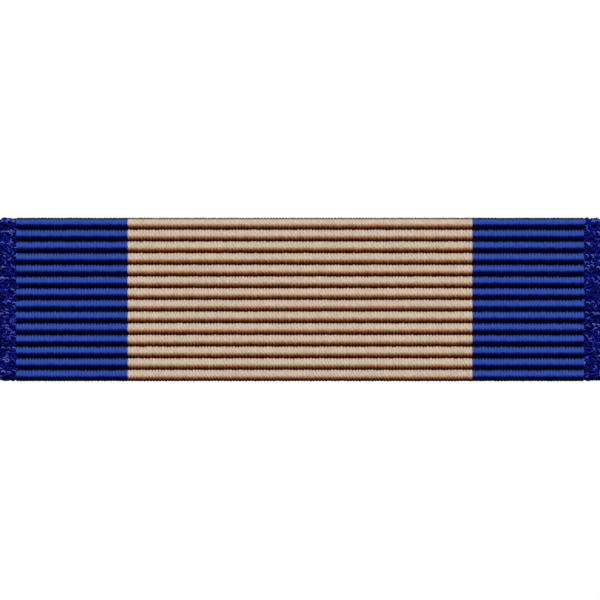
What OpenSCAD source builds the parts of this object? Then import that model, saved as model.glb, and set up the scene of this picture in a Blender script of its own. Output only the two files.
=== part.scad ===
// A service ribbon bar: a woven ribbon wrapped round a brass blank that slides on a brass
// mounting bar, which two nail posts and two pinch clutches hold to a tunic.
// X runs along the ribbon, Y from its front to the wearer, and Z is up. The origin is the
// middle of the mounting bar's rear face, which lies on the cloth.

/* [Ribbon] */
// Width of the ribbon from selvedge to selvedge, along the chest
ribbon_w = 34.925; // [30:0.005:40]
// Height of the wrapped ribbon
ribbon_h = 9.525; // [8.9:0.005:10.4]
// Width of the buff stripe
buff_w = 20.08; // [10:0.02:24]
// Width of each selvedge
selvedge_w = 0.93; // [0.5:0.01:1.5]
// Thickness of the ribbon over the front and the two bends
ribbon_t = 0.5; // [0.4:0.05:0.6]
// Thickness of the ribbon where it is drawn tight over a lip of the blank
wrap_t = 0.35; // [0.3:0.05:0.4]
// Thickness of the ribbon where it is cemented inside a channel of the blank
tuck_t = 0.25; // [0.2:0.05:0.3]

/* [Brass strip] */
// Thickness of the blank's sheet
blank_t = 0.35; // [0.3:0.05:0.4]
// Thickness of the mounting bar's sheet
bar_t = 0.45; // [0.4:0.05:0.5]
// Length of the mounting bar
bar_len = 33.6; // [28:0.1:34]
// Width of the mounting bar's raised web
web_w = 5.0; // [4.4:0.1:5.2]
// Free play between the mounting bar and the channels, front and rear
play = 0.075; // [0.06:0.005:0.1]

/* [Posts] */
// Distance between the two posts
post_gap = 19.05; // [16:0.05:22]
// Radius of a post where the cloth lies round it
post_r = 0.55; // [0.5:0.01:0.6]
// Radius of a post where its clutch grips it
grip_r = 0.5; // [0.45:0.01:0.55]
// Length of a post behind the web
post_len = 7.2; // [6.6:0.1:9]

/* [Clutches] */
// Gap for cloth between the mounting bar and a clutch
cloth_gap = 2.2; // [2.1:0.05:3]
// Radius of a clutch's base
base_r = 4.6; // [4.4:0.05:4.7]
// Radius of a clutch's cap
cap_r = 3.9; // [3.8:0.05:3.95]
// Height of a clutch's cap above its base's cloth side
cap_h = 2.6; // [2.5:0.05:2.8]
// Height of a wing's tip above the base's cloth side
wing_h = 5.2; // [4.6:0.1:6]
// Radius of the wire of a clutch's spring
wire_r = 0.17; // [0.12:0.01:0.2]

/* [Hidden] */
$fn = 64;
e = 0.01;

// Depths along Y, from the cloth side towards the front
rail_rear_y = -0.05;
lip_rear_y = rail_rear_y - wrap_t;
lip_front_y = lip_rear_y - blank_t;
tuck_front_y = lip_front_y - tuck_t;
flange_rear_y = tuck_front_y - play;
flange_front_y = flange_rear_y - bar_t;
wall_rear_y = flange_front_y - play;
wall_front_y = wall_rear_y - blank_t;
ribbon_front_y = wall_front_y - ribbon_t;

// Heights along Z
blank_half_h = ribbon_h / 2 - ribbon_t;
channel_half_h = blank_half_h - blank_t;
lip_edge_z = 3.1;
fold_t = 0.3;
tuck_end_z = channel_half_h - 0.06;
flange_half_h = channel_half_h - 0.11;
blank_len = ribbon_w - 0.2;
ribbon_bend_r = 0.5;
blank_bend_r = 0.3;
bar_bend_r = 0.3;

// A post, along Y
seat_r = 0.9;
head_r = 1.5;
head_t = 0.35;
shoulder_y = cloth_gap - 0.1;
taper_len = 0.6;
groove_depth = 0.08;
groove_h = 0.4;
point_len = 1.1;
tip_r = 0.1;

// A clutch: heights are above the cloth side of its base
disc_t = 0.3;
bore_r = 0.57;
guide_r = 0.87;
guide_h = 0.42;
rim_h = 1.0;
rim_t = 0.3;
cap_t = 0.3;
cap_foot_h = 0.33;
cap_flange_r = 4.25;
cap_hole_r = 0.95;
cap_round_r = 0.6;
slot_half_w = 1.75;
slot_in_x = 1.6;
slot_low_h = 1.75;
wing_t = 0.35;
pivot_x = 2.4;
pivot_h = 1.95;
pivot_r = 0.3;
pivot_half_w = 2.2;
waist_half_w = 1.5;
ear_half_w = 2.35;
ear_low_h = 2.85;
curl_x = grip_r + wire_r + 0.045;
curl_h = 1.15;
curl_r = 0.42;
curl_bore_r = wire_r + 0.03;
finger_in_z = 0.75;
finger_out_z = 1.45;
fork_x = 1.4;
spring_tail_z = 1.9;
spring_bend_z = 1.55;

buff_x = buff_w / 2;
edge_x = ribbon_w / 2;
blue_x = edge_x - selvedge_w;

// Extrudes an outline drawn as (y, z) from x0 to x1
module along_x(x0, x1) {
    translate([x0, 0, 0])
        rotate([90, 0, 90])
            linear_extrude(x1 - x0)
                children();
}

// Turns a shape drawn round Z so that it stands on the cloth side, round a post
module round_post(side, y = 0) {
    translate([side * post_gap / 2, y, 0])
        rotate([-90, 0, 0])
            children();
}

// A rectangle from corner a to corner b with rounded corners
module round_box(a, b, r) {
    translate([a[0] + r, a[1]])
        square([b[0] - a[0] - 2 * r, b[1] - a[1]]);
    translate([a[0], a[1] + r])
        square([b[0] - a[0], b[1] - a[1] - 2 * r]);
    for (x = [a[0] + r, b[0] - r], y = [a[1] + r, b[1] - r])
        translate([x, y])
            circle(r);
}

// A bent strip of sheet through points, t thick, drawn as an outline
module bent_strip(points, t) {
    for (i = [0 : len(points) - 2]) {
        run = points[i + 1] - points[i];
        translate(points[i])
            rotate(atan2(run[1], run[0]))
                translate([0, -t / 2])
                    square([norm(run), t]);
    }
    for (p = points)
        translate(p)
            circle(t / 2, $fn = 32);
}

// ---- Ribbon ----

// The upper half of what the ribbon adds behind a lip: the fold and the tuck in the channel
module ribbon_tuck() {
    translate([tuck_front_y, lip_edge_z - fold_t])
        square([rail_rear_y - tuck_front_y, fold_t]);
    translate([tuck_front_y, lip_edge_z - fold_t])
        square([tuck_t, tuck_end_z - lip_edge_z + fold_t]);
}

module ribbon_outline() {
    half_h = ribbon_h / 2;
    difference() {
        round_box([ribbon_front_y, -half_h], [rail_rear_y, half_h], ribbon_bend_r);
        round_box([wall_front_y, -blank_half_h], [lip_rear_y, blank_half_h], blank_bend_r);
        translate([lip_rear_y - e, e - lip_edge_z])
            square([wrap_t + 2 * e, 2 * (lip_edge_z - e)]);
    }
    ribbon_tuck();
    mirror([0, 1])
        ribbon_tuck();
}

module ribbon_stripe(x0, x1) {
    along_x(x0, x1)
        ribbon_outline();
}

module left_selvedge() {
    color([0.02, 0.02, 0.3])
        ribbon_stripe(-edge_x, -blue_x);
}

module ribbon_left_blue_band() {
    color([0.1, 0.17, 0.5])
        ribbon_stripe(-blue_x, -buff_x);
}

module ribbon_buff_band() {
    color([0.74, 0.64, 0.54])
        ribbon_stripe(-buff_x, buff_x);
}

module ribbon_right_blue_band() {
    color([0.1, 0.17, 0.5])
        ribbon_stripe(buff_x, blue_x);
}

module right_selvedge() {
    color([0.02, 0.02, 0.3])
        ribbon_stripe(blue_x, edge_x);
}

// The blank is one strip with both long edges turned over into channels
module ribbon_blank() {
    color([0.78, 0.62, 0.3])
        along_x(-blank_len / 2, blank_len / 2)
            difference() {
                round_box([wall_front_y, -blank_half_h], [lip_rear_y, blank_half_h], blank_bend_r);
                round_box([wall_rear_y, -channel_half_h], [lip_front_y, channel_half_h], 0.1);
                translate([lip_front_y - e, -lip_edge_z])
                    square([blank_t + 2 * e, 2 * lip_edge_z]);
            }
}

// ---- Mounting bar ----

// The hat section: two flanges that run in the channels, and a web raised to the cloth
module bar_outline() {
    web_half = web_w / 2;
    difference() {
        union() {
            round_box([flange_front_y, -flange_half_h], [flange_rear_y, flange_half_h], 0.1);
            round_box([flange_front_y, -web_half], [0, web_half], bar_bend_r);
            translate([flange_front_y, -web_half])
                square([bar_t, web_w]);
        }
        translate([flange_front_y - e, bar_t - web_half])
            square([-flange_front_y - bar_t + e, web_w - 2 * bar_t]);
    }
}

// The bar seen from behind, with rounded corners that lead it into the channels
module bar_blank_shape() {
    translate([0, e, 0])
        rotate([90, 0, 0])
            linear_extrude(2)
                round_box([-bar_len / 2, -flange_half_h], [bar_len / 2, flange_half_h], 0.9);
}

module mounting_bar() {
    color([0.8, 0.65, 0.33])
        difference() {
            intersection() {
                along_x(-bar_len / 2, bar_len / 2)
                    bar_outline();
                bar_blank_shape();
            }
            for (side = [-1, 1])
                round_post(side, -bar_t - e)
                    cylinder(h = bar_t + 2 * e, r = seat_r);
        }
}

// ---- Posts ----

// A nail: a flat head in front of the web, a seat swaged into it, a shank and a point
module post(side) {
    point_y = post_len - point_len;
    groove_y = cloth_gap + curl_h - groove_h / 2;
    color([0.85, 0.72, 0.42])
        round_post(side)
            rotate_extrude()
                polygon([
                    [0, -bar_t - head_t],
                    [head_r - 0.1, -bar_t - head_t],
                    [head_r, -bar_t - head_t + 0.1],
                    [head_r, -bar_t],
                    [seat_r, -bar_t],
                    [seat_r, -0.02],
                    [post_r, -0.02],
                    [post_r, shoulder_y],
                    [grip_r, shoulder_y + taper_len],
                    [grip_r, groove_y],
                    [grip_r - groove_depth, groove_y + 0.08],
                    [grip_r - groove_depth, groove_y + groove_h - 0.08],
                    [grip_r, groove_y + groove_h],
                    [grip_r, groove_y + 2.2 * groove_h],
                    [grip_r - groove_depth, groove_y + 2.2 * groove_h + 0.08],
                    [grip_r - groove_depth, groove_y + 3.2 * groove_h - 0.08],
                    [grip_r, groove_y + 3.2 * groove_h],
                    [grip_r, point_y],
                    [tip_r, post_len - tip_r],
                    [0, post_len]
                ]);
}

module left_post() {
    post(-1);
}

module right_post() {
    post(1);
}

// ---- Clutches ----

// The base is a dished disc with a drawn guide for the post and a rim crimped over the cap
module clutch_base(side) {
    crimp_in_r = cap_flange_r - 0.3;
    color([0.8, 0.64, 0.32])
        round_post(side, cloth_gap)
            difference() {
                rotate_extrude()
                    union() {
                        translate([bore_r, 0])
                            square([base_r - rim_t - bore_r, disc_t]);
                        translate([bore_r, 0])
                            square([guide_r - bore_r, guide_h]);
                        translate([base_r - 2 * rim_t, rim_t])
                            intersection() {
                                circle(r = rim_t, $fn = 48);
                                translate([0, -rim_t])
                                    square([rim_t, rim_t]);
                            }
                        translate([base_r - 2 * rim_t, 0])
                            square([rim_t, rim_t]);
                        translate([base_r - rim_t, rim_t])
                            square([rim_t, rim_h - rim_t]);
                        translate([base_r - rim_t, rim_t])
                            intersection() {
                                circle(r = rim_t, $fn = 48);
                                translate([0, -rim_t])
                                    square([rim_t, rim_t]);
                            }
                        translate([crimp_in_r, rim_h - rim_t])
                            square([base_r - crimp_in_r - e, rim_t - 0.05]);
                    }
                translate([0, 0, -e])
                    cylinder(h = 0.2, r1 = bore_r + 0.3, r2 = bore_r);
            }
}

// The cap is a drawn cup with a hole for the post's point and a slot for each wing
module clutch_cap(side) {
    wall_in_r = cap_r - cap_t;
    color([0.82, 0.67, 0.36])
        round_post(side, cloth_gap)
            difference() {
                rotate_extrude()
                    difference() {
                        union() {
                            translate([0, cap_foot_h])
                                square([cap_r, cap_h - cap_round_r - cap_foot_h]);
                            translate([0, cap_foot_h])
                                square([cap_r - cap_round_r, cap_h - cap_foot_h]);
                            translate([cap_r - cap_round_r, cap_h - cap_round_r])
                                circle(cap_round_r);
                            translate([0, cap_foot_h])
                                square([cap_flange_r, cap_t]);
                        }
                        translate([-e, cap_foot_h - e])
                            square([wall_in_r + e, cap_h - cap_round_r - cap_foot_h + e]);
                        translate([-e, cap_foot_h - e])
                            square([cap_r - cap_round_r + e, cap_h - cap_t - cap_foot_h + e]);
                        translate([cap_r - cap_round_r, cap_h - cap_round_r])
                            circle(cap_round_r - cap_t);
                        translate([-e, cap_h - cap_t - e])
                            square([cap_hole_r + e, cap_t + 2 * e]);
                        translate([-1, 0])
                            square([1, cap_h + 1]);
                    }
                for (way = [-1, 1])
                    translate([way > 0 ? slot_in_x : -cap_r - 1, -slot_half_w, slot_low_h])
                        cube([cap_r + 1 - slot_in_x, 2 * slot_half_w, cap_h]);
            }
}

// The outline of a wing from the side, for the wing on the +X side of its post
module wing_side_outline() {
    pivot = [pivot_x, pivot_h];
    curl = [curl_x, curl_h];
    shank = (pivot - curl) / norm(pivot - curl);
    bent_strip([curl + shank * (curl_r - wing_t / 2), pivot], wing_t);
    bent_strip([
        pivot,
        [2.78, 2.6],
        [3.3, 3.3],
        [3.65, 4.1],
        [3.78, wing_h - wing_t / 2]
    ], wing_t);
    translate(curl)
        circle(curl_r, $fn = 48);
}

// The outline of a wing from the end, as (height, z): a forked foot, a waist and a round ear
module wing_end_outline() {
    translate([0, -finger_out_z])
        square([pivot_h, 2 * finger_out_z]);
    translate([pivot_h - pivot_r, -waist_half_w])
        square([ear_low_h - pivot_h + 1, 2 * waist_half_w]);
    round_box([ear_low_h, -ear_half_w], [wing_h + e, ear_half_w], 1.1);
}

// A wing is one bent plate: its fingers curl round the spring, and its barrel rocks in the cap
module clutch_wing(side, way) {
    color([0.84, 0.7, 0.4])
        translate([side * post_gap / 2, cloth_gap, 0])
            mirror([way < 0 ? 1 : 0, 0, 0])
                difference() {
                    union() {
                        intersection() {
                            translate([0, 0, -ear_half_w - 1])
                                linear_extrude(2 * ear_half_w + 2)
                                    wing_side_outline();
                            along_x(0, cap_r + 1)
                                wing_end_outline();
                        }
                        translate([pivot_x, pivot_h, -pivot_half_w])
                            cylinder(h = 2 * pivot_half_w, r = pivot_r);
                    }
                    translate([0, 0, -finger_in_z])
                        cube([fork_x, pivot_h, 2 * finger_in_z]);
                    translate([curl_x, curl_h, -finger_out_z - e])
                        cylinder(h = 2 * finger_out_z + 2 * e, r = curl_bore_r);
                }
}

// The spring is a hairpin of round wire with a leg on each side of the post
module clutch_spring(side) {
    color([0.72, 0.72, 0.74])
        translate([side * post_gap / 2, cloth_gap + curl_h, 0]) {
            for (way = [-1, 1])
                translate([way * curl_x, 0, -spring_tail_z])
                    cylinder(h = spring_tail_z + spring_bend_z, r = wire_r, $fn = 32);
            translate([0, 0, spring_bend_z])
                rotate([-90, 0, 0])
                    rotate([0, 0, 180])
                        rotate_extrude(angle = 180)
                            translate([curl_x, 0])
                                circle(wire_r, $fn = 32);
        }
}

module left_clutch_base() {
    clutch_base(-1);
}

module left_clutch_cap() {
    clutch_cap(-1);
}

module left_clutch_spring() {
    clutch_spring(-1);
}

module left_clutch_outer_wing() {
    clutch_wing(-1, -1);
}

module left_clutch_inner_wing() {
    clutch_wing(-1, 1);
}

module right_clutch_base() {
    clutch_base(1);
}

module right_clutch_cap() {
    clutch_cap(1);
}

module right_clutch_spring() {
    clutch_spring(1);
}

module right_clutch_outer_wing() {
    clutch_wing(1, 1);
}

module right_clutch_inner_wing() {
    clutch_wing(1, -1);
}

left_selvedge();
ribbon_left_blue_band();
ribbon_buff_band();
ribbon_right_blue_band();
right_selvedge();
ribbon_blank();
mounting_bar();
left_post();
right_post();
left_clutch_base();
left_clutch_cap();
left_clutch_spring();
left_clutch_outer_wing();
left_clutch_inner_wing();
right_clutch_base();
right_clutch_cap();
right_clutch_spring();
right_clutch_outer_wing();
right_clutch_inner_wing();
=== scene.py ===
"""A service ribbon bar: ribbed ribbon woven in blue, buff and blue, drawn round a brass blank
that slides on a mounting bar with nail posts and pinch clutches."""
import math

import bpy
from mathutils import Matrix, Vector


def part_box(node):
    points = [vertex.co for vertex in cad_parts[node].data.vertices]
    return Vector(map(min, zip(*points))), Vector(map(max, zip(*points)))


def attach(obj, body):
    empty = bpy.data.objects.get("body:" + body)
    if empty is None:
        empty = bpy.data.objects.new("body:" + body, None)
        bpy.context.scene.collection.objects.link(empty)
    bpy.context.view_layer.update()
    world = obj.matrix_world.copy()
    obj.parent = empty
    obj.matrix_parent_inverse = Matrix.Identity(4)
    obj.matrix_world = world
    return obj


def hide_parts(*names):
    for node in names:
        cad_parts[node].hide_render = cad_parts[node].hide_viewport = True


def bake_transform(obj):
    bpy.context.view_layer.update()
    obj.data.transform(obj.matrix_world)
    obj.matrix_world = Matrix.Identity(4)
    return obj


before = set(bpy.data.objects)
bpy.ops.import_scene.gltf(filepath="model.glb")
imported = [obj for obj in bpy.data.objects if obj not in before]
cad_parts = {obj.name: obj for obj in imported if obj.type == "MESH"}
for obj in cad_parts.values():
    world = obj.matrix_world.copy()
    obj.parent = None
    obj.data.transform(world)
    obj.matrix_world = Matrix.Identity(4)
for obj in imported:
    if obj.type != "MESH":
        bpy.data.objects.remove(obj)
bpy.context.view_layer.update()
MM = 0.001

# ---- Driving sizes ----

ribbon_low, ribbon_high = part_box("ribbon_buff_band")
edge_low, edge_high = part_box("left_selvedge")
RIBBON_W = 2 * abs(edge_low[0])
RIBBON_H = ribbon_high[2] - ribbon_low[2]
FRONT_Y = ribbon_low[1]
REAR_Y = ribbon_high[1]
BUFF_X = ribbon_high[0]
BLUE_X = abs(edge_high[0])
BEND_R = 0.34 * MM       # outer radius where the ribbon turns over the blank
LIP_EDGE_Z = 2.8 * MM    # where the ribbon folds round a lip's free edge
FOLD_R = 0.3 * MM        # outer radius of that fold
TUCK_Y = -1.0 * MM       # skin of the ribbon inside a channel
TUCK_END_Z = 3.85 * MM   # cut end of the ribbon inside a channel

FRONT_RIBS = 14
RIB_PITCH = RIBBON_H / FRONT_RIBS
ALL_RIBS = 28            # from one cut end of the ribbon to the other
END_PITCH = 0.18 * MM    # from one warp end to the next
RIB_RISE = 0.25 * MM     # from a groove's floor to a rib's crest
RIB_PHASE = -0.007 * MM  # how far the ribs sit above an even share of the front
YARN_T = 0.055 * MM      # how far a warp end stands above its valleys
ARCH = 98                # degrees a float turns through on each side of its crest
HALF_ROW = 0.515         # half a float's length in rib pitches, so that floats overlap
HALF_END = 0.53          # half a float's width in end pitches, so that floats touch
CELLS_ACROSS, CELLS_ALONG = 4, 7
PATH_STEPS = 900

# The blank's depth under the skin at the end of each of the path's runs
CLOTH_DEPTHS = [d * MM for d in (0.49, 0.49, 0.49, 0.49, 0.34, 0.34, 0.29, 0.29, 0.24, 0.24)]
GROUND_DEPTH = RIB_RISE - 0.07 * MM
GROUND_PAST_EDGE = 0.05 * MM
CORD_RISE = 0.02 * MM    # how far the ground rises and falls over the weft cords
GROUND_ROWS, GROUND_COLUMNS = 340, 24


# ---- Node helpers ----

class Sock:
    """A node socket that Python's operators work on, adding Math nodes as they go."""

    def __init__(self, tree, socket):
        self.tree, self.socket = tree, socket

    def math(self, operation, *others, first=None):
        node = self.tree.new("ShaderNodeMath", {"operation": operation})
        for slot, value in zip(node.inputs, [self if first is None else first, *others]):
            self.tree.put(slot, value)
        return Sock(self.tree, node.outputs[0])

    def __add__(self, other):
        return self.math("ADD", other)

    def __radd__(self, other):
        return self.math("ADD", other)

    def __sub__(self, other):
        return self.math("SUBTRACT", other)

    def __rsub__(self, other):
        return self.math("SUBTRACT", self, first=other)

    def __mul__(self, other):
        return self.math("MULTIPLY", other)

    def __rmul__(self, other):
        return self.math("MULTIPLY", other)

    def __truediv__(self, other):
        return self.math("DIVIDE", other)

    def __rtruediv__(self, other):
        return self.math("DIVIDE", self, first=other)


class Tree:
    """A node tree with one method that makes any node from its settings and its sockets."""

    def __init__(self, nodes_owner):
        self.owner = nodes_owner

    def new(self, kind, settings=None):
        node = self.owner.nodes.new(kind)
        for key, value in (settings or {}).items():
            setattr(node, key, value)
        return node

    def put(self, slot, value):
        if isinstance(value, Sock):
            value = value.socket
        if isinstance(value, bpy.types.NodeSocket):
            self.owner.links.new(value, slot)
        else:
            slot.default_value = value

    def node(self, kind, settings=None, out=0, **sockets):
        """Sockets are named by their labels with _ for a space, or by s0, s1 for their places."""
        node = self.new(kind, settings)
        for key, value in sockets.items():
            if key[0] == "s" and key[1:].isdigit():
                slot = node.inputs[int(key[1:])]
            else:
                slot = node.inputs[key.replace("_", " ")]
            self.put(slot, value)
        return Sock(self, node.outputs[out])

    def split(self, vector):
        """A vector's X, Y and Z."""
        node = self.new("ShaderNodeSeparateXYZ")
        self.put(node.inputs[0], vector)
        return [Sock(self, part) for part in node.outputs]

    def ramp(self, factor, stops):
        node = self.new("ShaderNodeValToRGB")
        points = node.color_ramp.elements
        while len(points) < len(stops):
            points.new(1)
        for point, (position, colour) in zip(points, stops):
            point.position = position
            point.color = (*colour, 1)
        self.put(node.inputs[0], factor)
        return Sock(self, node.outputs[0])

    def mix(self, factor, a, b, blend="MIX"):
        node = self.new("ShaderNodeMix", {"data_type": "RGBA", "blend_type": blend})
        self.put(node.inputs[0], factor)
        for slot, value in ((node.inputs[6], a), (node.inputs[7], b)):
            self.put(slot, (*value, 1) if isinstance(value, tuple) and len(value) == 3 else value)
        return Sock(self, node.outputs[2])

    def clamp(self, value, low, high, out_low=0.0, out_high=1.0, smooth=False):
        kind = {"interpolation_type": "SMOOTHSTEP"} if smooth else {}
        node = self.new("ShaderNodeMapRange", kind)
        for slot, given in zip(node.inputs, (value, low, high, out_low, out_high)):
            self.put(slot, given)
        return Sock(self, node.outputs[0])


def material(name, roughness, metallic=0.0, **fixed):
    """A new material, its tree and its shader, with the shader's even values set."""
    made = bpy.data.materials.new(name)
    made.use_nodes = True
    tree = Tree(made.node_tree)
    shader = made.node_tree.nodes["Principled BSDF"]
    shader.inputs["Metallic"].default_value = metallic
    shader.inputs["Roughness"].default_value = roughness
    for key, value in fixed.items():
        shader.inputs[key.replace("_", " ")].default_value = value
    return made, tree, shader


def attribute(tree, name):
    return tree.node("ShaderNodeAttribute", {"attribute_name": name}, out=2)


def place(tree, scale=(1, 1, 1)):
    """Object coordinates, stretched."""
    where = tree.node("ShaderNodeTexCoord", out=3)
    return tree.node("ShaderNodeMapping", s0=where, Scale=scale)


def noise(tree, where, scale, detail, rough=0.55):
    return tree.node("ShaderNodeTexNoise", s0=where, Scale=scale, Detail=detail,
                     Roughness=rough)


def bump(tree, shader, height, distance, strength):
    made = tree.node("ShaderNodeBump", Strength=strength, Distance=distance, Height=height)
    tree.put(shader.inputs["Normal"], made)


# ---- Materials ----

def yarn(name, stops):
    """Dyed yarn with painted shade: its colour darkens from a rib's crest down into its grooves.

    Stops are degrees round the rib, from its lower groove to its upper one, and colours. The
    front has all of them, its lower flank painted darker as if lit from above, and the rest has
    the upper side's on both sides."""
    made, tree, shader = material(name, roughness=0.82, Specular_IOR_Level=0.06)
    stops = [(0.5 + angle / ARCH / 2, colour) for angle, colour in stops]
    along, across = attribute(tree, "along"), attribute(tree, "across")
    shade = attribute(tree, "shade")
    where = place(tree)
    twist = ((along * 1.6 + across * 0.55 + shade * 3.0) * (2 * math.pi)).math("SINE")
    fibre = noise(tree, where, 16000, 3)
    cloud = noise(tree, where, 420, 2)
    # A float's sides go further along the ramp: painted shade in the valleys between warp ends.
    spread = 0.5 + attribute(tree, "valley") * 0.2
    front = attribute(tree, "front")
    even = along.math("ABSOLUTE")
    bank = (along * front + even * (1 - front)) * spread + 0.5 + (fibre - 0.5) * 0.05
    # The ramp paints shade onto the dye: darker down the flanks and into the grooves.
    tone = tree.ramp(bank, stops)
    level = 1 + (shade - 0.5) * 0.1 + (fibre - 0.5) * 0.3 + twist * 0.05 + (cloud - 0.5) * 0.1
    # Painted shade along the front's upper and lower folds.
    level = level * (1 - fold_painted_shade(tree, where) * 0.85)
    grey = tree.node("ShaderNodeCombineColor", s0=level, s1=level, s2=level)
    tree.put(shader.inputs["Base Color"], tree.mix(1.0, tone, grey, "MULTIPLY"))
    bump(tree, shader, twist * 0.5 + fibre, 0.02 * MM, 0.5)
    return made


def fold_painted_shade(tree, where):
    """One along the front's upper and lower folds, where painted shade darkens them, none
    elsewhere.
    """
    _, y, z = tree.split(where)
    height = z.math("ABSOLUTE")
    edge = tree.clamp(height, RIBBON_H / 2 - 0.115 * MM, RIBBON_H / 2 - 0.07 * MM, smooth=True)
    back = tree.clamp(y, FRONT_Y + 0.4 * MM, FRONT_Y + 0.62 * MM, 1.0, 0.0, smooth=True)
    return edge * back


def knot_yarn():
    """The edge's navy yarn, its standing loops made paler as painted highlights."""
    made, tree, shader = material("selvedge_yarn", roughness=0.75, Specular_IOR_Level=0.12)
    where = place(tree)
    fibre = noise(tree, where, 15000, 3)
    cloud = noise(tree, where, 2600, 3, 0.7)
    shade = attribute(tree, "shade")
    level = tree.clamp(shade * 0.8 + cloud * 0.7 - 0.35, 0.0, 1.0)
    # The ramp's dark end is the navy dye; its pale end is painted highlight on the loops.
    tone = tree.ramp(level, [(0.0, (0.001, 0.003, 0.13)), (0.35, (0.002, 0.006, 0.28)),
                             (0.62, (0.004, 0.014, 0.40)), (0.76, (0.05, 0.09, 0.52)),
                             (1.0, (0.13, 0.18, 0.62))])
    # Painted shade along the front's upper and lower folds.
    tone = tree.mix(fold_painted_shade(tree, where) * 0.8, tone, (0.001, 0.002, 0.04))
    tree.put(shader.inputs["Base Color"], tone)
    bump(tree, shader, fibre, 0.02 * MM, 0.5)
    return made


def ground_cloth():
    """The weft cords and buried warp that show in the grooves, coloured by stripe in near-black
    painted shade.
    """
    made, tree, shader = material("ribbon_ground", roughness=0.9, Specular_IOR_Level=0.05)
    where = tree.node("ShaderNodeTexCoord", out=3)
    x, _, _ = tree.split(where)
    in_buff = x.math("ABSOLUTE").math("LESS_THAN", BUFF_X)
    grain = noise(tree, where, 9000, 3)
    # These colours are painted shade: near black, standing for the shadow in the grooves.
    blue = tree.mix(grain, (0.0006, 0.001, 0.012), (0.001, 0.002, 0.04))
    buff = tree.mix(grain, (0.03, 0.008, 0.001), (0.09, 0.03, 0.008))
    navy = tree.mix(grain, (0.0006, 0.0012, 0.05), (0.002, 0.005, 0.22))
    in_edge = x.math("ABSOLUTE").math("GREATER_THAN", BLUE_X)
    blue = tree.mix(in_edge, blue, navy)
    tree.put(shader.inputs["Base Color"], tree.mix(in_buff, blue, buff))
    bump(tree, shader, grain, 0.02 * MM, 0.6)
    return made


def brass(name, colour, dark, rough, brush, tarnish, lines=0.5):
    """Brass sheet or wire: drawn or brushed lines, a cloud of tarnish and fine scratches."""
    made, tree, shader = material(name, metallic=1.0, roughness=rough)
    where = place(tree)
    brushed = noise(tree, place(tree, brush), 2600, 5, 0.65)
    cloud = noise(tree, where, 330, 4, 0.6)
    spots = tree.clamp(noise(tree, where, 1500, 2), 0.62, 0.74)
    scratch = tree.node("ShaderNodeTexVoronoi", {"feature": "DISTANCE_TO_EDGE"}, s0=where,
                        Scale=700)
    scratch = tree.clamp(scratch, 0.0, 0.012, 1.0, 0.0)
    old = tree.clamp(cloud, 0.42, 0.68, 0.0, tarnish, smooth=True)
    tone = tree.mix(old, colour, dark)
    tone = tree.mix(spots * 0.35 * tarnish, tone, tuple(0.45 * c for c in dark))
    tree.put(shader.inputs["Base Color"], tone)
    shine = rough + (brushed - 0.5) * 0.22 + old * 0.22 + spots * 0.12
    tree.put(shader.inputs["Roughness"], tree.clamp(shine, 0.08, 0.8, 0.08, 0.8))
    bump(tree, shader, brushed * lines + scratch * -0.25 - spots * 0.3, 0.006 * MM, 0.7)
    return made


def spring_steel():
    made, tree, shader = material("spring_wire", metallic=1.0, roughness=0.28)
    drawn = noise(tree, place(tree, (1, 1, 0.05)), 5000, 3)
    tree.put(shader.inputs["Base Color"], tree.mix(drawn, (0.42, 0.42, 0.44), (0.66, 0.66, 0.68)))
    tree.put(shader.inputs["Roughness"], 0.2 + drawn * 0.2)
    bump(tree, shader, drawn, 0.003 * MM, 0.6)
    return made


# Each ramp holds the dye's colour near the crest and painted shade down the flanks into the
# grooves, the lower flank (-) darker as if lit from above.
BUFF_YARN = yarn("buff_yarn", [
    (-90, (0.04, 0.006, 0.001)), (-62, (0.16, 0.03, 0.006)), (-39, (0.42, 0.11, 0.024)),
    (-28, (0.50, 0.205, 0.083)), (-18, (0.61, 0.34, 0.186)), (-7, (0.76, 0.53, 0.352)),
    (3, (0.81, 0.64, 0.485)), (16, (0.73, 0.59, 0.476)), (38, (0.60, 0.50, 0.405)),
    (58, (0.57, 0.45, 0.345)), (76, (0.50, 0.31, 0.19)), (90, (0.20, 0.06, 0.018))])
BLUE_YARN = yarn("blue_yarn", [
    (-90, (0.0003, 0.0004, 0.004)), (-55, (0.0004, 0.0008, 0.015)),
    (-40, (0.0006, 0.001, 0.035)), (-30, (0.0007, 0.0014, 0.07)),
    (-20, (0.0012, 0.0036, 0.135)), (-10, (0.0055, 0.015, 0.26)), (-1, (0.026, 0.064, 0.42)),
    (9, (0.0385, 0.094, 0.445)), (38, (0.035, 0.08, 0.381)), (58, (0.025, 0.05, 0.28)),
    (74, (0.0015, 0.004, 0.06)), (90, (0.0003, 0.0005, 0.008))])
EDGE_YARN = knot_yarn()
GROUND = ground_cloth()


# ---- The ribbon's path round the blank ----

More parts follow.
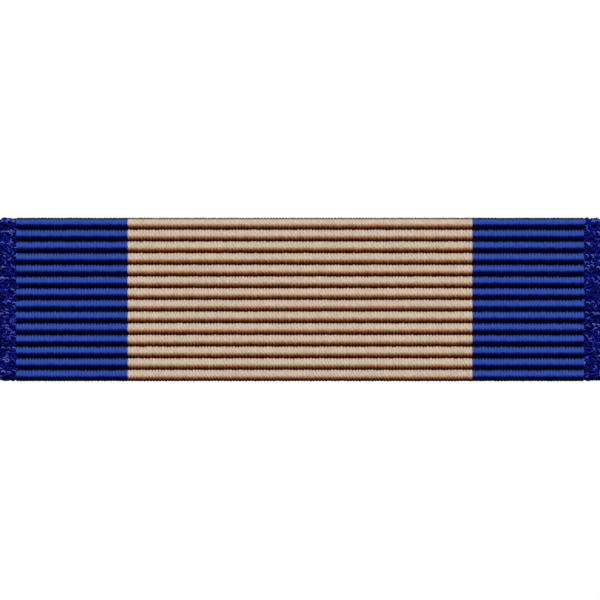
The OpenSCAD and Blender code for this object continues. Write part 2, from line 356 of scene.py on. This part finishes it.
class Path:
    """The ribbon's skin, sunk by depth, as lines and arcs from the middle of the front upwards."""

    def __init__(self, depth=0.0):
        top = RIBBON_H / 2
        bend, fold = BEND_R - depth, FOLD_R - depth
        self.runs = []
        self.at = Vector((FRONT_Y + depth, 0))
        self.way = math.pi / 2
        self.line(top - BEND_R)
        self.arc(bend)
        self.line(REAR_Y - FRONT_Y - 2 * BEND_R)
        self.arc(bend)
        self.line(top - BEND_R - LIP_EDGE_Z - FOLD_R)
        self.arc(fold)
        self.line(REAR_Y - TUCK_Y - 2 * FOLD_R)
        self.arc(fold)
        self.line(TUCK_END_Z - LIP_EDGE_Z - FOLD_R)
        self.ends = [sum(run[0] for run in self.runs[:i]) for i in range(len(self.runs) + 1)]
        self.length = self.ends[-1]

    def line(self, length):
        self.runs.append((length, self.at.copy(), self.way, 0.0))
        self.at += Vector((math.cos(self.way), math.sin(self.way))) * length

    def arc(self, radius):
        """A quarter turn clockwise, as seen with Y to the right and Z up."""
        length = radius * math.pi / 2
        self.runs.append((length, self.at.copy(), self.way, radius))
        self.at += self.turn(self.way, radius, math.pi / 2)
        self.way -= math.pi / 2

    @staticmethod
    def turn(way, radius, angle):
        side = Vector((math.sin(way), -math.cos(way))) * radius
        ahead = Vector((math.cos(way), math.sin(way))) * radius
        return side * (1 - math.cos(angle)) + ahead * math.sin(angle)

    def spot(self, s):
        """The place and the way along at a distance s from the middle, below it if negative."""
        left = abs(s)
        for run in self.runs:
            length, at, way, radius = run
            if left <= length or run is self.runs[-1]:
                break
            left -= length
        if radius:
            angle = left / radius
            at, way = at + self.turn(way, radius, angle), way - angle
        else:
            at = at + Vector((math.cos(way), math.sin(way))) * left
        if s < 0:
            return Vector((at.x, -at.y)), math.pi - way
        return at, way


def curve_along(path):
    """A curve object on the path, from one cut end of the ribbon to the other."""
    data = bpy.data.curves.new("ribbon_path", "CURVE")
    data.dimensions = "3D"
    spline = data.splines.new("POLY")
    spline.points.add(PATH_STEPS)
    for i, point in enumerate(spline.points):
        at, _ = path.spot(path.length * (2 * i / PATH_STEPS - 1))
        point.co = (0, at.x, at.y, 1)
    made = bpy.data.objects.new("ribbon_path", data)
    bpy.context.collection.objects.link(made)
    return made


# ---- Geometry Nodes ----

def inputs_of(group, named):
    """Adds the group's inputs, and returns {name: its socket's identifier}."""
    group.interface.new_socket("Geometry", in_out="INPUT", socket_type="NodeSocketGeometry")
    group.interface.new_socket("Geometry", in_out="OUTPUT", socket_type="NodeSocketGeometry")
    found = {}
    for name, kind in named.items():
        made = group.interface.new_socket(name, in_out="INPUT", socket_type=f"NodeSocket{kind}")
        found[name] = made.identifier
    return found


def run_tree(group, base, name, values, keys):
    """Runs a node group on a base object, and returns the result as a plain mesh object."""
    modifier = base.modifiers.new("made", "NODES")
    modifier.node_group = group
    for key, value in values.items():
        modifier[keys[key]] = value
    bpy.context.view_layer.update()
    seen = base.evaluated_get(bpy.context.evaluated_depsgraph_get())
    mesh = bpy.data.meshes.new_from_object(seen)
    mesh.name = name
    base.modifiers.remove(modifier)
    made = bpy.data.objects.new(name, mesh)
    bpy.context.collection.objects.link(made)
    return made


def in_use(sockets, name):
    """The one socket of that name that a node's settings leave switched on."""
    return next(s for s in sockets if s.name == name and s.enabled)


def stored(tree, geometry, name, value):
    node = tree.new("GeometryNodeStoreNamedAttribute", {"data_type": "FLOAT", "domain": "POINT"})
    node.inputs["Name"].default_value = name
    tree.put(node.inputs["Geometry"], geometry)
    tree.put(in_use(node.inputs, "Value"), value)
    return Sock(tree, node.outputs[0])


def random_value(tree, low, high, seed):
    node = tree.new("FunctionNodeRandomValue", {"data_type": "FLOAT"})
    tree.put(in_use(node.inputs, "Min"), low)
    tree.put(in_use(node.inputs, "Max"), high)
    tree.put(node.inputs["Seed"], seed)
    return Sock(tree, in_use(node.outputs, "Value"))


def tube(tree, curve, radius, sides, caps=False):
    """A round tube along a curve."""
    ring = tree.new("GeometryNodeCurvePrimitiveCircle", {"mode": "RADIUS"})
    tree.put(ring.inputs["Resolution"], sides)
    tree.put(in_use(ring.inputs, "Radius"), radius)
    return tree.node("GeometryNodeCurveToMesh", Curve=curve,
                     Profile_Curve=Sock(tree, ring.outputs[0]), Fill_Caps=caps)


def end_group(tree, instances, finish):
    """Sends the instances out of the group as one mesh of one material."""
    solid = tree.node("GeometryNodeRealizeInstances", s0=instances)
    solid = tree.node("GeometryNodeSetMaterial", Geometry=solid, Material=finish)
    tree.put(tree.new("NodeGroupOutput").inputs[0], solid)


def float_shape(tree, given):
    """One warp float: a strip of yarn, round across, that arches over a weft cord."""
    grid = tree.new("GeometryNodeMeshGrid")
    for slot, value in zip(grid.inputs, (2.0, 2.0, CELLS_ACROSS + 1, CELLS_ALONG + 1)):
        tree.put(slot, value)
    across, along, _ = tree.split(tree.node("GeometryNodeInputPosition"))
    angle = along * math.radians(ARCH)
    round_up = (1.001 - across * across).math("SQRT")  # just over 1, so the root is real
    thick = given["Yarn thickness"] * round_up
    reach = given["Row pitch"] * HALF_ROW - given["Yarn thickness"] + thick
    height = given["Rib rise"] - given["Yarn thickness"] + thick
    shaped = tree.node("ShaderNodeCombineXYZ", s0=across * given["Column pitch"] * HALF_END,
                       s1=angle.math("SINE") * reach, s2=angle.math("COSINE") * height)
    mesh = stored(tree, Sock(tree, grid.outputs[0]), "across", across)
    mesh = stored(tree, mesh, "along", along)
    # valley: a float's sides, which the yarn material paints darker as shade between warp ends.
    mesh = stored(tree, mesh, "valley", 1 - round_up)
    mesh = tree.node("GeometryNodeSetPosition", Geometry=mesh, Position=shaped)
    return tree.node("GeometryNodeSetShadeSmooth", s0=mesh)


def new_group(name, named):
    """A new node group, its tree, the identifiers of its inputs and their sockets."""
    group = bpy.data.node_groups.new(name, "GeometryNodeTree")
    keys = inputs_of(group, named)
    tree = Tree(group)
    entry = tree.new("NodeGroupInput")
    return group, tree, keys, {s.name: Sock(tree, s) for s in entry.outputs if s.name}


def rows_of_points(tree, given, slip, depth, aside):
    """Points in rows along the path and in columns across it, sunk into the cloth by depth.

    Returns the points, and the parts of the way along at each."""
    columns = given["Columns"]
    points = tree.node("GeometryNodePoints", Count=given["Rows"] * columns)
    index = tree.node("GeometryNodeInputIndex")
    row = ((index + 0.5) / columns).math("FLOOR")
    column = index - row * columns
    spot = tree.new("GeometryNodeSampleCurve", {"mode": "LENGTH"})
    length = given["First row"] + row * given["Row pitch"] + slip
    tree.put(spot.inputs["Curves"], given["Geometry"])
    tree.put(in_use(spot.inputs, "Length"), length)
    _, run_y, run_z = tree.split(spot.outputs["Tangent"])
    x = given["First column"] + column * given["Column pitch"] + aside
    step = tree.node("ShaderNodeCombineXYZ", s0=x, s1=depth * run_z, s2=depth * run_y * -1)
    points = tree.node("GeometryNodeSetPosition", Geometry=points,
                       Position=spot.outputs["Position"], Offset=step)
    return points, run_y, run_z


GRID_INPUTS = {"Rows": "Int", "Columns": "Int", "First row": "Float", "Row pitch": "Float",
               "First column": "Float", "Column pitch": "Float", "Seed": "Int",
               "Yarn": "Material"}


def weave_tree():
    """Warp floats in rows along the ribbon's path and in columns across one stripe."""
    group, tree, keys, given = new_group("warp_floats", {
        **GRID_INPUTS, "Rib rise": "Float", "Yarn thickness": "Float"})
    seed = given["Seed"]
    points, run_y, run_z = rows_of_points(
        tree, given, slip=random_value(tree, -0.01 * MM, 0.01 * MM, seed),
        depth=given["Rib rise"] + random_value(tree, -0.019 * MM, -0.011 * MM, seed + 1),
        aside=random_value(tree, -0.004 * MM, 0.004 * MM, seed + 2))
    points = stored(tree, points, "shade", random_value(tree, 0.0, 1.0, seed + 3))
    # front: how much of the lower flank's painted shade a float takes.
    points = stored(tree, points, "front", tree.clamp(run_z, 0.4, 0.8))
    lean = run_z.math("ARCTAN2", run_y) + random_value(tree, -0.03, 0.03, seed + 4)
    turn = tree.node("ShaderNodeCombineXYZ", s0=lean,
                     s2=random_value(tree, -0.05, 0.05, seed + 5))
    size = tree.node("ShaderNodeCombineXYZ", s0=random_value(tree, 1.0, 1.08, seed + 6),
                     s1=random_value(tree, 0.96, 1.04, seed + 7),
                     s2=random_value(tree, 0.98, 1.02, seed + 8))
    placed = tree.node("GeometryNodeInstanceOnPoints", Points=points,
                       Instance=float_shape(tree, given), Rotation=turn, Scale=size)
    end_group(tree, placed, given["Yarn"])
    return group, keys


def loop_tree():
    """Loops of yarn lying on the ribbon's edge: part rings, bulging off the cloth."""
    group, tree, keys, given = new_group("edge_loops", {
        **GRID_INPUTS, "Depth": "Float", "Loop radius": "Float", "Stretch": "Float",
        "Yarn radius": "Float", "Sweep": "Float", "Turn": "Float", "Turn spread": "Float",
        "Bulge": "Float", "Spread": "Float", "Palest": "Float", "Darkest": "Float"})
    seed, spread = given["Seed"], given["Spread"]
    points, run_y, run_z = rows_of_points(
        tree, given, slip=random_value(tree, -1.0, 1.0, seed) * spread,
        depth=given["Depth"] + random_value(tree, -0.4, 0.4, seed + 2) * spread,
        aside=random_value(tree, -1.0, 1.0, seed + 1) * spread)
    # Each loop's place on the edge yarn's ramp, whose pale end is painted highlight.
    shade = random_value(tree, given["Darkest"], given["Palest"], seed + 3)
    points = stored(tree, points, "shade", shade)

    arc = tree.new("GeometryNodeCurveArc", {"mode": "RADIUS"})
    for label, value in (("Resolution", 11), ("Radius", given["Loop radius"]),
                         ("Start Angle", given["Sweep"] * -0.5),
                         ("Sweep Angle", given["Sweep"])):
        tree.put(in_use(arc.inputs, label), value)
    x, y, _ = tree.split(tree.node("GeometryNodeInputPosition"))
    lifted = tree.node("ShaderNodeCombineXYZ", s0=x, s1=y * given["Stretch"],
                       s2=(x / given["Loop radius"] - 1) * given["Bulge"] * 0.5)
    ring = tree.node("GeometryNodeSetPosition", Geometry=Sock(tree, arc.outputs[0]),
                     Position=lifted)
    loop = tube(tree, ring, given["Yarn radius"], sides=6)
    loop = tree.node("GeometryNodeSetShadeSmooth", s0=loop)
    lean = run_z.math("ARCTAN2", run_y)
    placed = tree.node("GeometryNodeInstanceOnPoints", Points=points, Instance=loop,
                       Rotation=tree.node("ShaderNodeCombineXYZ", s0=lean),
                       Scale=random_value(tree, 0.85, 1.15, seed + 4))
    turn = given["Turn"] + random_value(tree, -1.0, 1.0, seed + 5) * given["Turn spread"]
    tip = random_value(tree, -0.35, 0.35, seed + 6)
    placed = tree.node("GeometryNodeRotateInstances", Instances=placed,
                       Rotation=tree.node("ShaderNodeCombineXYZ", s1=tip, s2=turn))
    end_group(tree, placed, given["Yarn"])
    return group, keys


def rows_of(per_rib, shift=0.0):
    """The inputs that lay rows along the whole ribbon, so many to a rib."""
    rows, pitch = ALL_RIBS * per_rib, RIB_PITCH / per_rib
    return {"Rows": rows, "Row pitch": pitch,
            "First row": skin.length + RIB_PHASE + shift - (rows - 1) / 2 * pitch}


def edge_yarns(side, way):
    """The weft's turns at one edge, the fine knots over them and one row of loops a rib."""
    edge = way * RIBBON_W / 2
    kinds = {
        "weft_turns": {
            **rows_of(1, RIB_PITCH / 2), "Columns": 1, "First column": edge - way * 0.42 * MM,
            "Column pitch": 0.0, "Depth": 0.18 * MM, "Loop radius": 0.31 * MM,
            "Stretch": 0.85, "Yarn radius": 0.085 * MM, "Sweep": math.radians(250),
            "Turn": 0.0 if way > 0 else math.pi, "Turn spread": 0.1, "Bulge": 0.1 * MM,
            "Spread": 0.02 * MM, "Seed": 70 + way, "Darkest": 0.0, "Palest": 0.3},
        "edge_knots": {
            **rows_of(3), "Columns": 6, "First column": edge - way * 0.09 * MM,
            "Column pitch": -way * 0.165 * MM, "Depth": 0.1 * MM, "Loop radius": 0.075 * MM,
            "Stretch": 1.2, "Yarn radius": 0.045 * MM, "Sweep": math.radians(210),
            "Turn": -0.6, "Turn spread": 2.6, "Bulge": 0.08 * MM, "Spread": 0.06 * MM,
            "Seed": 80 + way, "Darkest": -0.4, "Palest": 1.05},
        # These loops sit at the ramp's pale end: painted highlights.
        "edge_loops": {
            **rows_of(1, 0.12 * MM), "Columns": 3, "First column": edge - way * 0.16 * MM,
            "Column pitch": -way * 0.3 * MM, "Depth": 0.05 * MM,
            "Loop radius": 0.12 * MM, "Stretch": 0.8, "Yarn radius": 0.042 * MM,
            "Sweep": math.radians(130), "Turn": 1.3 if way < 0 else 0.7, "Turn spread": 0.8,
            "Bulge": 0.08 * MM, "Spread": 0.06 * MM, "Seed": 90 + way, "Darkest": 0.6,
            "Palest": 1.25},
    }
    made = []
    for name, values in kinds.items():
        made.append(run_tree(LOOPS, skin_curve, f"{side}_{name}",
                             {"Yarn": EDGE_YARN, **values}, LOOP_KEYS))
        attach(made[-1], "ribbon")
        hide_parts(f"{side}_selvedge")
    return made


def weave_stripe(name, x0, x1, yarn_with_painted_shade, seed, node):
    """The warp ends of one stripe, from x0 to x1, as one piece."""
    ends = round((x1 - x0) / END_PITCH)
    pitch = (x1 - x0) / ends
    values = {
        **rows_of(1), "Columns": ends, "First column": x0 + pitch / 2, "Column pitch": pitch,
        "Rib rise": RIB_RISE, "Yarn thickness": YARN_T, "Seed": seed, "Yarn": yarn_with_painted_shade}
    made = run_tree(WEAVE, skin_curve, name, values, WEAVE_KEYS)
    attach(made, "ribbon")
    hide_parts(node)
    return made


skin = Path()
skin_curve = curve_along(skin)
WEAVE, WEAVE_KEYS = weave_tree()
LOOPS, LOOP_KEYS = loop_tree()

left_blue = weave_stripe("left_blue_warp", -BLUE_X, -BUFF_X, BLUE_YARN, 11,
                         "ribbon_left_blue_band")
buff = weave_stripe("buff_warp", -BUFF_X, BUFF_X, BUFF_YARN, 31,
                    "ribbon_buff_band")
right_blue = weave_stripe("right_blue_warp", BUFF_X, BLUE_X, BLUE_YARN, 51,
                          "ribbon_right_blue_band")
left_edge = edge_yarns("left", -1)
right_edge = edge_yarns("right", 1)


def cloth_depth(path, s):
    """How far the blank lies under the skin at a distance s along the path."""
    for start, end, depth, last in zip(path.ends, path.ends[1:], CLOTH_DEPTHS, CLOTH_DEPTHS[1:]):
        if abs(s) <= end:
            break
    return depth + (last - depth) * min((abs(s) - start) / (end - start), 1)


def ground_sheet():
    """The cloth under the floats, down to the blank: one sheet from cut end to cut end."""
    path = Path(GROUND_DEPTH)
    rows, columns = GROUND_ROWS, GROUND_COLUMNS
    wide, half_w = columns + 1, RIBBON_W / 2 + GROUND_PAST_EDGE
    outer, inner = [], []
    for i in range(rows + 1):
        s = path.length * (2 * i / rows - 1)
        at, way = path.spot(s)
        out = Vector((-math.sin(way), math.cos(way)))
        cord = CORD_RISE * math.cos(2 * math.pi * ((s - RIB_PHASE) / RIB_PITCH - 0.5))
        top, under = at + out * cord, at - out * (cloth_depth(path, s) - GROUND_DEPTH)
        for j in range(wide):
            x = half_w * (2 * j / columns - 1)
            outer.append((x, top.x, top.y))
            inner.append((x, under.x, under.y))
    count = len(outer)
    faces = []
    for i in range(rows):
        for j in range(columns):
            a, b, c, d = (k + j for k in (i * wide, i * wide + 1, (i + 1) * wide + 1,
                                          (i + 1) * wide))
            faces += [(a, b, c, d), (d + count, c + count, b + count, a + count)]
        for a, b in ((i * wide, (i + 1) * wide), ((i + 2) * wide - 1, (i + 1) * wide - 1)):
            faces.append((a, b, b + count, a + count))
    for j in range(columns):
        for a, b in ((j + 1, j), (rows * wide + j, rows * wide + j + 1)):
            faces.append((a, b, b + count, a + count))
    mesh = bpy.data.meshes.new("ribbon_ground")
    mesh.from_pydata(outer + inner, [], faces)
    mesh.materials.append(GROUND)
    mesh.shade_smooth()
    made = bpy.data.objects.new("ribbon_ground", mesh)
    bpy.context.collection.objects.link(made)
    return made, 2 * path.length, 2 * half_w


ground, cut_length, cut_width = ground_sheet()
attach(ground, "ribbon")
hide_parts("ribbon_buff_band")
bpy.data.objects.remove(skin_curve)


# ---- Clutch springs ----

CURL_X = 0.715 * MM      # from a post's middle to a spring's leg
CURL_Y = 3.35 * MM       # how far a spring lies behind the cloth face
LEG_LOW_Z = -1.9 * MM    # a leg's free end
LEG_HIGH_Z = 1.55 * MM   # where a leg runs into the bend
WIRE_R = 0.17 * MM
LEG_STEPS, BEND_STEPS = 26, 12


def wire_tree():
    """A round wire along a curve, its ends closed."""
    group, tree, keys, given = new_group("wire", {"Radius": "Float", "Wire": "Material"})
    wire = tube(tree, given["Geometry"], given["Radius"], sides=20, caps=True)
    end_group(tree, wire, given["Wire"])
    return group, keys


def spring_leg(side, wing, post_x, way):
    """Half of a hairpin spring: a leg on the wing's side of the post and a quarter bend over to the
    post's middle.
    """
    points = [(post_x + way * CURL_X, LEG_LOW_Z + (LEG_HIGH_Z - LEG_LOW_Z) * i / LEG_STEPS)
              for i in range(LEG_STEPS)]
    points += [(post_x + way * CURL_X * math.cos(a), LEG_HIGH_Z + CURL_X * math.sin(a))
               for a in (math.pi / 2 * i / BEND_STEPS for i in range(BEND_STEPS + 1))]
    data = bpy.data.curves.new("leg", "CURVE")
    data.dimensions = "3D"
    spline = data.splines.new("POLY")
    spline.points.add(len(points) - 1)
    for point, (x, z) in zip(spline.points, points):
        point.co = (x, CURL_Y, z, 1)
    base = bpy.data.objects.new("leg", data)
    bpy.context.collection.objects.link(base)
    made = run_tree(WIRE, base, f"{side}_{wing}_spring_leg",
                    {"Radius": WIRE_R, "Wire": SPRING}, WIRE_KEYS)
    made.data.shade_smooth()
    bpy.data.objects.remove(base)
    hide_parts(f"{side}_clutch_spring")
    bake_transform(made)


SPRING = spring_steel()
WIRE, WIRE_KEYS = wire_tree()
for side, way in (("left", -1), ("right", 1)):
    low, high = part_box(f"{side}_post")
    post_x = (low[0] + high[0]) / 2
    spring_leg(side, "outer", post_x, way)
    spring_leg(side, "inner", post_x, -way)


# ---- Metal ----

def finish(node, made):
    """Puts one material on a piece that is kept from the frame."""
    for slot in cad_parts[node].material_slots:
        slot.material = made


finish("ribbon_blank", brass("blank_brass", (0.72, 0.50, 0.21), (0.36, 0.2, 0.08), 0.34,
                             (0.04, 1, 1), 0.6))
finish("mounting_bar", brass("bar_brass", (0.80, 0.58, 0.26), (0.42, 0.25, 0.1), 0.27,
                             (0.03, 1, 1), 0.5))
POST = brass("post_brass", (0.84, 0.65, 0.33), (0.45, 0.3, 0.13), 0.2, (1, 0.05, 1), 0.35)
CLUTCH = brass("clutch_brass", (0.80, 0.59, 0.27), (0.4, 0.24, 0.1), 0.25, (1, 1, 1), 0.5, 0.3)
WING = brass("wing_brass", (0.84, 0.64, 0.31), (0.44, 0.27, 0.11), 0.22, (1, 0.1, 1), 0.4)
for side in ("left", "right"):
    finish(f"{side}_post", POST)
    finish(f"{side}_clutch_base", CLUTCH)
    finish(f"{side}_clutch_cap", CLUTCH)
    finish(f"{side}_clutch_spring", SPRING)
    for wing in ("outer", "inner"):
        finish(f"{side}_clutch_{wing}_wing", WING)


# ---- Stage ----

AMBIENT = 0.05           # the world's light on cloth, with its white as 1
CAMERA_Z = -0.03 * MM    # the camera's height above the ribbon's middle
FLOOR_R = 2.0
FLOOR_Z = -0.25
KEY_HEIGHT = math.radians(50)

def set_camera():
    """A long lens square on to the ribbon, which fills the width of the view."""
    data = bpy.data.cameras.new("camera")
    data.lens = 300
    data.sensor_width = 36
    made = bpy.data.objects.new("camera", data)
    bpy.context.collection.objects.link(made)
    away = data.lens / data.sensor_width * RIBBON_W
    made.location = (0, FRONT_Y - away, CAMERA_Z)
    made.rotation_euler = (math.radians(90), 0, 0)
    data.clip_start = away / 50
    data.clip_end = away * 50
    bpy.context.scene.camera = made


def add_sun(name, toward, strength, spread):
    """Light from the direction of toward."""
    data = bpy.data.lights.new(name, "SUN")
    data.energy, data.angle = strength, math.radians(spread)
    made = bpy.data.objects.new(name, data)
    made.rotation_euler = Vector(toward).to_track_quat("Z", "Y").to_euler()
    bpy.context.collection.objects.link(made)


def set_world():
    """White to the eye, dim to cloth, and a soft sky and ground for metal to reflect."""
    world = bpy.data.worlds.new("studio")
    bpy.context.scene.world = world
    world.use_nodes = True
    tree = Tree(world.node_tree)
    world.node_tree.nodes.clear()
    ray = tree.new("ShaderNodeLightPath")
    _, _, up = tree.split(tree.node("ShaderNodeTexCoord", out=0))
    sky = tree.ramp(up * 0.5 + 0.5, [(0.0, (0.1,) * 3), (0.4, (0.3,) * 3), (0.5, (0.5,) * 3),
                                     (0.62, (0.95,) * 3), (0.8, (0.7,) * 3),
                                     (1.0, (0.35,) * 3)])
    dim = tree.node("ShaderNodeBackground", Color=(1, 1, 1, 1), Strength=AMBIENT)
    shiny = tree.node("ShaderNodeBackground", Color=sky, Strength=1.0)
    white = tree.node("ShaderNodeBackground", Color=(1, 1, 1, 1), Strength=1.0)
    lit = tree.node("ShaderNodeMixShader", s0=ray.outputs["Is Glossy Ray"], s1=dim, s2=shiny)
    seen = tree.node("ShaderNodeMixShader", s0=ray.outputs["Is Camera Ray"], s1=lit, s2=white)
    tree.put(tree.new("ShaderNodeOutputWorld").inputs[0], seen)


def add_floor():
    """A pale disc, low enough for a view from 45 degrees beneath the bar at rest to be above it."""
    mesh = bpy.data.meshes.new("floor")
    rim = [(FLOOR_R * math.cos(a), FLOOR_R * math.sin(a), FLOOR_Z)
           for a in (2 * math.pi * k / 96 for k in range(96))]
    mesh.from_pydata(rim, [], [list(range(96))])
    made = bpy.data.objects.new("floor", mesh)
    bpy.context.collection.objects.link(made)
    paint, _, _ = material("floor_paint", roughness=0.9, Base_Color=(0.8, 0.8, 0.8, 1))
    mesh.materials.append(paint)
    made.visible_diffuse = False


set_camera()
set_world()
add_floor()
add_sun("key", (0.05, -math.cos(KEY_HEIGHT), math.sin(KEY_HEIGHT)), 3.3, 6)
add_sun("rear", (-0.4, 0.8, 0.55), 1.4, 70)
bpy.context.scene.view_settings.view_transform = "Standard"
